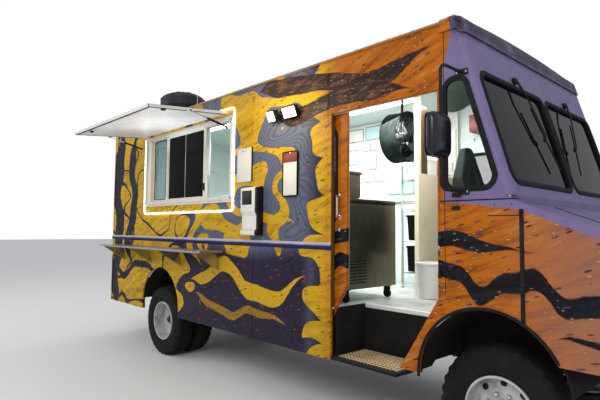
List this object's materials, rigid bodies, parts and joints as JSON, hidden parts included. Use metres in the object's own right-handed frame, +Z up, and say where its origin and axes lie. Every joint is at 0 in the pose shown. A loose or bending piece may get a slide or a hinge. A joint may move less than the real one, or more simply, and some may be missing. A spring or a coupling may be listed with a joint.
{
  "type": "food truck",
  "caption": "Step van food truck with a raised serving awning, sliding side doors, rear swing doors, folding shelf and steered front wheels.",
  "frame": {"origin": "on the ground under the middle of the outline, with the awning raised and mirrors out", "axes": "+X forward, +Y to the vehicle's left, +Z up"},
  "size_m": [6.5871, 3.3629, 3.3884],
  "materials": {
    "body_paint": "satin",
    "orange_paint": "satin",
    "pale_paint": "satin",
    "white_paint": "satin",
    "frame_paint": "matte",
    "deck_metal": "tread plate",
    "iron": "rough",
    "stainless": "brushed",
    "bright": "polished",
    "awning_skin": "satin",
    "window_frame": "satin",
    "glass": "clear",
    "lamp_glass": "clear",
    "light_tube": "translucent",
    "black_plastic": "satin",
    "board": "matte",
    "white_board": "satin",
    "fan_metal": "satin",
    "seat_cover": "vinyl",
    "tyre": "worn",
    "rim_paint": "satin"
  },
  "bodies": {
    "body": {"chassis_frame": "frame_paint", "front_axle": "iron", "rear_axle": "iron", "leaf_springs": "iron", "engine": "iron", "underbody": "frame_paint", "floor": "deck_metal", "step_wells": "deck_metal", "wheel_houses": "deck_metal", "right_wall": "body_paint", "left_wall": "body_paint", "rear_wall": "body_paint", "roof": "pale_paint", "cab_sides": "orange_paint", "cab_front": "pale_paint", "cab_glass": "glass", "nose": "orange_paint", "grille": "frame_paint", "lamps": "lamp_glass", "bumpers": "frame_paint", "serving_frame": "window_frame", "serving_pane": "glass", "menu_board": "board", "light_rope": "light_tube", "wall_fittings": "white_board", "mirrors": "black_plastic", "roof_fan": "fan_metal", "seat": "seat_cover", "dash": "black_plastic", "fridge": "stainless", "drum_fan": "fan_metal", "kitchen_rack": "stainless", "partition": "white_paint", "ceiling_lamps": "light_tube"},
    "knuckle_right": {"knuckle_right": "iron"},
    "knuckle_left": {"knuckle_left": "iron"},
    "track_rod": {"track_rod": "iron"},
    "front_wheel_right": {"front_tyre_right": "tyre", "front_rim_right": "rim_paint"},
    "front_wheel_left": {"front_tyre_left": "tyre", "front_rim_left": "rim_paint"},
    "rear_wheels_right": {"rear_tyres_right": "tyre", "rear_rims_right": "rim_paint"},
    "rear_wheels_left": {"rear_tyres_left": "tyre", "rear_rims_left": "rim_paint"},
    "right_door": {"right_door": "orange_paint", "right_door_glass": "glass"},
    "left_door": {"left_door": "orange_paint", "left_door_glass": "glass"},
    "rear_door_right": {"rear_door_right": "body_paint"},
    "rear_door_left": {"rear_door_left": "body_paint"},
    "hood": {"hood": "pale_paint"},
    "awning": {"awning": "awning_skin"},
    "strut_tubes": {"strut_tubes": "black_plastic"},
    "strut_rods": {"strut_rods": "bright"},
    "shelf": {"shelf": "stainless"}
  },
  "joints": [
    {"name": "steering", "type": "hinge", "parent": "body", "child": "knuckle_right", "pos_m": [2.3235, -0.3991, 0.4], "axis": [0, 0, 1], "range_deg": [-30, 30]},
    {"name": "steering_left", "type": "hinge", "parent": "body", "child": "knuckle_left", "pos_m": [2.3235, 0.9109, 0.4], "axis": [0, 0, 1], "range_deg": [-31, 31]},
    {"name": "track_rod_shift", "type": "slide", "parent": "body", "child": "track_rod", "axis": [0, -1, 0], "range_m": [-0.1, 0.1]},
    {"name": "front_wheel_right_spin", "type": "hinge", "parent": "knuckle_right", "child": "front_wheel_right", "pos_m": [2.3235, -0.5491, 0.4], "axis": [0, 1, 0], "continuous": true},
    {"name": "front_wheel_left_spin", "type": "hinge", "parent": "knuckle_left", "child": "front_wheel_left", "pos_m": [2.3235, 1.0609, 0.4], "axis": [0, 1, 0], "continuous": true},
    {"name": "rear_wheels_right_spin", "type": "hinge", "parent": "body", "child": "rear_wheels_right", "pos_m": [-1.7165, -0.5291, 0.4], "axis": [0, 1, 0], "continuous": true},
    {"name": "rear_wheels_left_spin", "type": "hinge", "parent": "body", "child": "rear_wheels_left", "pos_m": [-1.7165, 1.0409, 0.4], "axis": [0, 1, 0], "continuous": true},
    {"name": "right_door_slide", "type": "slide", "parent": "body", "child": "right_door", "axis": [1, 0, 0], "range_m": [0, 0.813]},
    {"name": "left_door_slide", "type": "slide", "parent": "body", "child": "left_door", "axis": [-1, 0, 0], "range_m": [0, 0.813]},
    {"name": "rear_door_right_hinge", "type": "hinge", "parent": "body", "child": "rear_door_right", "pos_m": [-3.1445, -0.3411, 1.6], "axis": [0, 0, -1], "range_deg": [-110, 0]},
    {"name": "rear_door_left_hinge", "type": "hinge", "parent": "body", "child": "rear_door_left", "pos_m": [-3.1445, 0.8529, 1.6], "axis": [0, 0, -1], "range_deg": [0, 110]},
    {"name": "hood_hinge", "type": "hinge", "parent": "body", "child": "hood", "pos_m": [2.5845, 0.2559, 1.63451], "axis": [0, -1, 0], "range_deg": [0, 55]},
    {"name": "awning_hinge", "type": "hinge", "parent": "body", "child": "awning", "pos_m": [-1.1925, -0.8441, 2.653], "axis": [1, 0, 0], "range_deg": [0, 85]},
    {"name": "strut_tube_swing", "type": "hinge", "parent": "body", "child": "strut_tubes", "pos_m": [-1.1925, -0.8541, 2.503], "axis": [1, 0, 0], "range_deg": [-1, 120]},
    {"name": "strut_rod_slide", "type": "slide", "parent": "strut_tubes", "child": "strut_rods", "axis": [0, -0.9742, 0.2257], "range_m": [-0.2, 0.005]},
    {"name": "shelf_hinge", "type": "hinge", "parent": "body", "child": "shelf", "pos_m": [-1.5855, -0.8401, 1.271], "axis": [-1, 0, 0], "range_deg": [0, 85]}
  ],
  "couplings": [
    {"joint": "steering_left", "follows": "steering", "ratio": 1},
    {"joint": "track_rod_shift", "follows": "steering", "m_per_rad": 0.17},
    {"joint": "strut_tube_swing", "follows": "awning_hinge", "ratio": 1.2},
    {"joint": "strut_rod_slide", "follows": "awning_hinge", "m_per_rad": -0.112}
  ]
}
